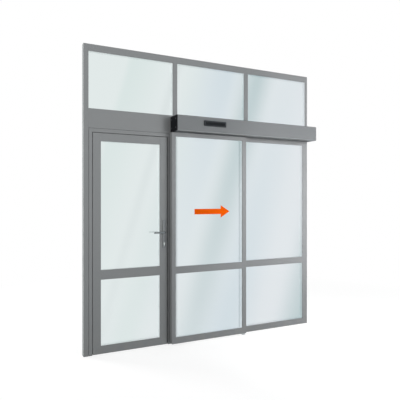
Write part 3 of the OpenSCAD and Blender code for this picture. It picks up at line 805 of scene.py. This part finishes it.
def add_tufts(bm, start, end, out, side, length, pitch):
    """A row of brush fibres from start to end. They point along out, a little unevenly."""
    count = int((end - start).length / pitch)
    along = (end - start).normalized()
    half = pitch * 0.62
    for i in range(count):
        root = start + along * pitch * (i + 0.5)
        lean = along * 0.0006 * math.sin(i * 2.3) + side * 0.0007 * math.sin(i * 1.7)
        tip = root + lean + out * length * (0.95 + 0.05 * math.sin(i * 3.1))
        loops = []
        for middle, wide, thick in ((root, half, TUFT_ROOT_T), (tip, half * 0.7, TUFT_TIP_T)):
            a, b = along * wide, side * thick
            loops.append([middle - a - b, middle + a - b, middle + a + b, middle - a + b])
        add_loft(bm, loops)


def make_brushes():
    """Brush seals: a carrier with fibres behind each stile of the sliding leaf, and one under
    the hinged leaf."""
    carriers, fibres = bmesh.new(), bmesh.new()
    for low, high in solids("slide_seals"):
        root = high.y - FIBRES_OUT
        add_box(carriers, (low.x, low.y, low.z), (high.x, root, high.z), 0.0006)
        middle = (low.x + high.x) / 2
        for x in (middle - ROW_OUT, middle + ROW_OUT):
            foot = Vector((x, root - 0.001, low.z + 0.001))
            top = Vector((x, root - 0.001, high.z - 0.001))
            add_tufts(fibres, foot, top, Y, X, FIBRES_L, SLIDE_PITCH)
    piece("slide_seal_carriers", carriers, "sliding_leaf", "frame_metal", replaces=["slide_seals"])
    piece("slide_seal_fibres", fibres, "sliding_leaf", "brush_seal", smooth=10)
    low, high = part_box("door_bottom_rail")
    sweep = bmesh.new()
    y, z = (low.y + high.y) / 2, low.z + 0.0005
    add_tufts(sweep, Vector((low.x, y, z)), Vector((high.x, y, z)), -Z, Y, low.z - 0.0008, DOOR_PITCH)
    piece("door_bottom_brush", sweep, "hinged_leaf", "brush_seal", smooth=10)


# ---------------------------------------------------------------- operator

# The floor guide: thickness of its plate, half thickness and corners of its fin, distance from
# the guide's front to the fin's middle, and radius of the screws
GUIDE_PLATE_T, FIN_HALF_T, FIN_CORNER, FIN_Y, GUIDE_SCREW_R = 0.003, 0.0028, 0.0024, 0.012, 0.0035


def make_floor_guide():
    """The guide under the leaf: a thin plate with its screws, and a fin with a round top."""
    (low, high), = solids("floor_guide")
    metal, screws = bmesh.new(), bmesh.new()
    add_box(metal, (low.x, low.y + 0.002, 0), (high.x, high.y, GUIDE_PLATE_T), 0.0008)
    middle = Vector(((low.x + high.x) / 2, low.y + FIN_Y, 0))
    top = high.z
    add_plate(metal, middle, Z, X, Y, (high.x - low.x) / 2, FIN_HALF_T, FIN_CORNER,
              [(0.002, 0), (top - 0.002, 0), (top - 0.0005, -0.0006), (top, -0.0015)], 4)
    for x in (low.x + 0.01, high.x - 0.01):
        add_screw(screws, Vector((x, high.y - 0.02, GUIDE_PLATE_T)), Z, GUIDE_SCREW_R)
    piece("floor_guide_shape", metal, "frame", "mill_aluminium", replaces=["floor_guide"])
    piece("floor_guide_screws", screws, "frame", "steel")


def wheel_side(r):
    """Half a wheel's outline, from its bore to its rim: (distance in from its face, radius)."""
    bore, hub, dish, rim = 0.0046, 0.0075, 0.0014, 0.0004
    return [(0, bore), (0, hub), (dish, hub + 0.0007), (dish, r - 0.0045),
            (rim, r - 0.0038), (rim, r - 0.0008), (0.0012, r)]


def make_carriage():
    """Nylon wheels with a raised rim and hub, and the bolts of the hangers."""
    wheels, bolts = bmesh.new(), bmesh.new()
    for low, high in solids("carriage_wheels"):
        middle, w = centre_of(low, high), high.y - low.y
        side = wheel_side((high.z - low.z) / 2)
        outline = side + [(w - d, size) for d, size in reversed(side)]
        add_lathe(wheels, Vector((middle.x, low.y, middle.z)), Y, outline)
    for low, high in solids("carriage_hangers"):
        foot_t, from_end, from_front, bolt_r = 0.006, 0.02, 0.0035, 0.0028
        for x in (low.x + from_end, high.x - from_end):
            add_screw(bolts, Vector((x, low.y + from_front, low.z + foot_t)), Z, bolt_r)
    piece("carriage_wheels_shape", wheels, "sliding_leaf", "wheel_plastic", replaces=["carriage_wheels"])
    piece("carriage_bolts", bolts, "sliding_leaf", "steel")


# The sensor: how far its window stands in front of the housing, the corners of both, and the
# window's width, height and drop below the middle as shares of the housing's half sizes
WINDOW_PROUD, HOUSING_CORNER, WINDOW_CORNER = 0.001, 0.010, 0.006
WINDOW_W, WINDOW_H, WINDOW_DOWN = 0.86, 0.52, 0.1


def make_sensor():
    """The sensor: a crowned housing with a dark window in its front."""
    low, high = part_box("door_sensor")
    middle = centre_of(low, high)
    middle.y = high.y
    half_w, half_h = (high.x - low.x) / 2, (high.z - low.z) / 2
    front = high.y - low.y - WINDOW_PROUD
    housing, window = bmesh.new(), bmesh.new()
    add_plate(housing, middle, -Y, X, Z, half_w, half_h, HOUSING_CORNER,
              [(0, 0), (front * 0.45, 0), (front * 0.75, -0.0012), (front * 0.92, -0.0034),
               (front, -0.0075)], 6)
    piece("door_sensor_housing", housing, "frame", "sensor_plastic", replaces=["door_sensor"], smooth=60)
    sunk = 0.0004
    face = middle - Y * (front - sunk) - Z * half_h * WINDOW_DOWN
    wide, tall = half_w * WINDOW_W, half_h * WINDOW_H
    add_loft(window, [rounded(face - Y * d, X, Z, wide + grow, tall + grow, WINDOW_CORNER)
                      for d, grow in ((0, 0), (WINDOW_PROUD, 0), (WINDOW_PROUD + sunk, -0.0004))])
    piece("door_sensor_window", window, "frame", "lens")


# The box's trim: height of its lips, and thickness of the black strip along its top, which is a painted
# shadow gap
LIP_H, TOP_SHADOW_STRIP_T = 0.006, 0.0035
# Screws of the end caps: radius, distance from the cap's front and back, distance above and below
# its middle, and depth of the screws in the right cap
CAP_SCREW_R, CAP_SCREW_IN, CAP_SCREW_FROM_MIDDLE, RIGHT_SCREW_SUNK = 0.0042, 0.03, 0.045, 0.0021


def make_cover_trim():
    """The rolled lips along the box's front, in the paler frame colour as a painted highlight on its
    edges, the black strip along its top as a painted shadow gap, and the screws of its end caps.
    """
    low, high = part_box("header_front")
    left_cap, right_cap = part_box("header_left_cap"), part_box("header_right_cap")
    lips, seal, screws = bmesh.new(), bmesh.new(), bmesh.new()
    face, end = left_cap[0].y, right_cap[0].x
    for z in (low.z, high.z - LIP_H - TOP_SHADOW_STRIP_T):
        # Lips in the paler frame colour: a painted highlight on the cover's rolled edges.
        add_box(lips, (low.x, face, z), (end, low.y + 0.001, z + LIP_H), 0.0006)
    # A near-black strip along the top edge: a painted shadow of a gap.
    add_box(seal, (low.x, face + 0.0005, high.z - TOP_SHADOW_STRIP_T), (end, low.y + 0.002, high.z), 0.0005)
    piece("header_lips_painted_highlight", lips, "frame", "frame_metal")
    piece("header_top_strip_painted_shadow", seal, "frame", "cap_plastic")
    middle_z = (low.z + high.z) / 2
    for y in (face + CAP_SCREW_IN, -CAP_SCREW_IN):
        for z in (middle_z - CAP_SCREW_FROM_MIDDLE, middle_z + CAP_SCREW_FROM_MIDDLE):
            add_screw(screws, Vector((left_cap[0].x, y, z)), -X, CAP_SCREW_R)
            add_screw(screws, Vector((right_cap[1].x - RIGHT_SCREW_SUNK, y, z)), X, CAP_SCREW_R)
    piece("header_cap_screws", screws, "frame", "steel")


# ---------------------------------------------------------------- stage

# The floor: half its size, and the distances from the object between which it fades to white
FLOOR_HALF, FADE_START, FADE_END = 60.0, 2.0, 4.5
# Its grey where it is seen and where it lights the object, and the light it adds where it is seen
FLOOR_SEEN, FLOOR_BOUNCED, FLOOR_GLOW = (0.3, 0.3, 0.3, 1), (0.25, 0.25, 0.25, 1), 0.8
WHITE = (1, 1, 1, 1)


def seen_by_eye(graph, path):
    """1 for rays from the camera, straight or through glass, and 0 for the others."""
    return graph.math("MAXIMUM", path["Is Camera Ray"], path["Is Transmission Ray"])


def floor_material():
    """Matt grey with a glow where it is seen, darker where it only lights, white far away."""
    material = bpy.data.materials.new("floor")
    material.use_nodes = True
    graph = Graph(material.node_tree)
    path = graph.add("LightPath").outputs
    seen = graph.math("MAXIMUM", seen_by_eye(graph, path), path["Is Glossy Ray"])
    both = graph.add("AddShader")
    graph.put(both.inputs[0], graph.add("BsdfDiffuse", {"Color": FLOOR_SEEN}).outputs[0])
    glow = graph.add("Emission", {"Color": WHITE, "Strength": FLOOR_GLOW})
    graph.put(both.inputs[1], glow.outputs[0])
    near = graph.blend(seen, graph.add("BsdfDiffuse", {"Color": FLOOR_BOUNCED}), both)
    far = graph.add("Emission", {"Color": WHITE, "Strength": 1.0})
    reach = graph.add("VectorMath", operation="DISTANCE")
    graph.put(reach.inputs[0], graph.place())
    graph.put(reach.inputs[1], ((cad_box[0].x + cad_box[1].x) / 2, 0, 0))
    fade = graph.remap(reach.outputs["Value"], FADE_START, FADE_END, 0.0, 1.0)
    graph.add("OutputMaterial", {"Surface": graph.blend(fade, near, far).outputs[0]})
    return material


def make_floor():
    """A plain pale floor that looks white and still takes the object's shadow."""
    mesh = bpy.data.meshes.new("floor")
    corners = [(x * FLOOR_HALF, y * FLOOR_HALF, 0) for x, y in ((-1, -1), (1, -1), (1, 1), (-1, 1))]
    mesh.from_pydata(corners, [], [(0, 1, 2, 3)])
    mesh.materials.append(floor_material())
    floor = bpy.data.objects.new("floor", mesh)
    bpy.context.scene.collection.objects.link(floor)
    floor.visible_glossy = False


# What the glass mirrors: a pale room, greenish on the left and bluish on the right, with soft
# darker panels that lean to the left as they fall. Places run along
# (right - LEAN * up) / distance, and heights along up / distance, where the distance is straight
# back and is at least NEAREST. Its pale colour turns from the one to the other from LEFT to RIGHT.
LEAN = 0.3
LEFT, RIGHT = 0.25, 0.75
LOW, HIGH = -0.3, 0.3
NEAREST = 0.05
PALE_LEFT, PALE_RIGHT = (0.9, 0.98, 0.97, 1), (0.91, 0.955, 1.0, 1)
MINT, GREY = (0.8, 0.92, 0.9, 1), (0.8, 0.88, 0.88, 1)
SKY, TEAL = (0.73, 0.84, 0.91, 1), (0.52, 0.66, 0.69, 1)
# (start, darkest place, end, colour, share at LOW, share at HIGH) of each panel
PANELS = [
    (0.21, 0.23, 0.33, MINT, 0.3, 1.0),
    (0.34, 0.40, 0.46, MINT, 0.6, 0.3),
    (0.32, 0.34, 0.36, GREY, 0.4, 0.8),
    (0.36, 0.48, 0.55, SKY, 0.0, 1.0),
    (0.54, 0.67, 0.78, SKY, 1.0, 0.3),
    (0.50, 0.57, 0.64, TEAL, 0.5, 1.0),
    (0.80, 0.91, 1.1, TEAL, 1.0, 0.5),
]


def panelled(graph, across, upward):
    """The colour of the room in a direction."""
    room = graph.mix(graph.remap(across, LEFT, RIGHT, 0.0, 1.0), PALE_LEFT, PALE_RIGHT)
    for start, darkest, end, colour, low, high in PANELS:
        rise = graph.remap(across, start, darkest, 0.0, 1.0, soft=True)
        fall = graph.remap(across, darkest, end, 1.0, 0.0, soft=True)
        share = graph.remap(upward, LOW, HIGH, low, high)
        near = graph.math("MULTIPLY", graph.math("MINIMUM", rise, fall), share)
        room = graph.mix(near, room, colour)
    return room


# Colour and strength of the even light that comes from all around
FILL, FILL_STRENGTH = (0.97, 0.985, 1.0, 1), 0.22


def make_world():
    """White to look at; softly panelled where glass and metal mirror it; even light."""
    world = bpy.data.worlds.new("studio")
    bpy.context.scene.world = world
    world.use_nodes = True
    graph = Graph(world.node_tree)
    path = graph.add("LightPath").outputs
    way = graph.add("SeparateXYZ", {"Vector": graph.add("TexCoord").outputs["Generated"]}).outputs
    depth = graph.math("MAXIMUM", graph.math("ABSOLUTE", way["Y"]), NEAREST)
    lean = graph.math("MULTIPLY", way["Z"], LEAN)
    across = graph.math("DIVIDE", graph.math("SUBTRACT", way["X"], lean), depth)
    upward = graph.math("DIVIDE", way["Z"], depth)
    panels = graph.add("Background", {"Color": panelled(graph, across, upward)})
    white = graph.add("Background", {"Color": WHITE})
    fill = graph.add("Background", {"Color": FILL, "Strength": FILL_STRENGTH})
    lit = graph.blend(seen_by_eye(graph, path), fill, white)
    mirrored = graph.blend(path["Is Glossy Ray"], lit, panels)
    graph.add("OutputWorld", {"Surface": mirrored.outputs[0]})


def make_lamp(name, place, target, size, power, spread=180):
    """A square soft lamp that points at a place and isn't mirrored."""
    data = bpy.data.lights.new(name, "AREA")
    data.shape, data.size, data.energy = "SQUARE", size, power
    data.spread = math.radians(spread)
    lamp = bpy.data.objects.new(name, data)
    lamp.location = place
    lamp.rotation_euler = (Vector(target) - Vector(place)).to_track_quat("-Z", "Y").to_euler()
    lamp.visible_glossy = False
    lamp.visible_camera = False
    bpy.context.scene.collection.objects.link(lamp)


# The view, worked out from the photo: where the camera stands, how far it turns to the right, and
# its lens
EYE, TURN, LENS = (-0.917, -4.338, 1.50), -26.45, 40.5


def make_camera():
    """Level, at standing eye height, to the left of the screen."""
    data = bpy.data.cameras.new("camera")
    data.lens, data.sensor_width = LENS, 36.0
    camera = bpy.data.objects.new("camera", data)
    camera.location = EYE
    camera.rotation_euler = (math.radians(90), 0, math.radians(TURN))
    bpy.context.scene.collection.objects.link(camera)
    bpy.context.scene.camera = camera


dress_frame()
glaze()
make_handles()
make_hinges()
make_door_stop()
make_lock()
make_brushes()
make_floor_guide()
make_carriage()
make_sensor()
make_cover_trim()

make_floor()
make_world()
# Lamps, in metres, watts and degrees. The first two and the left one light the whole face, the
# two side ones rake along it to the right, and the last lights the back.
aim = centre_of(*cad_box)
make_lamp("front", (0.0, -6.0, 2.6), aim, size=3.0, power=25)
make_lamp("right", (3.4, -5.0, 2.3), aim, size=1.6, power=105)
make_lamp("side", (1.3, -2.1, 2.25), (6.2, 0, -0.15), size=0.6, power=45, spread=130)
make_lamp("low_side", (2.2, -1.6, 1.6), (6.0, 0, 0.6), size=0.6, power=20, spread=130)
make_lamp("left", (-7.0, -2.5, 2.1), aim, size=3.0, power=235)
make_lamp("back", (-3.4, 4.4, 1.1), aim, size=2.0, power=520)
make_camera()
bpy.context.scene.view_settings.view_transform = "Standard"
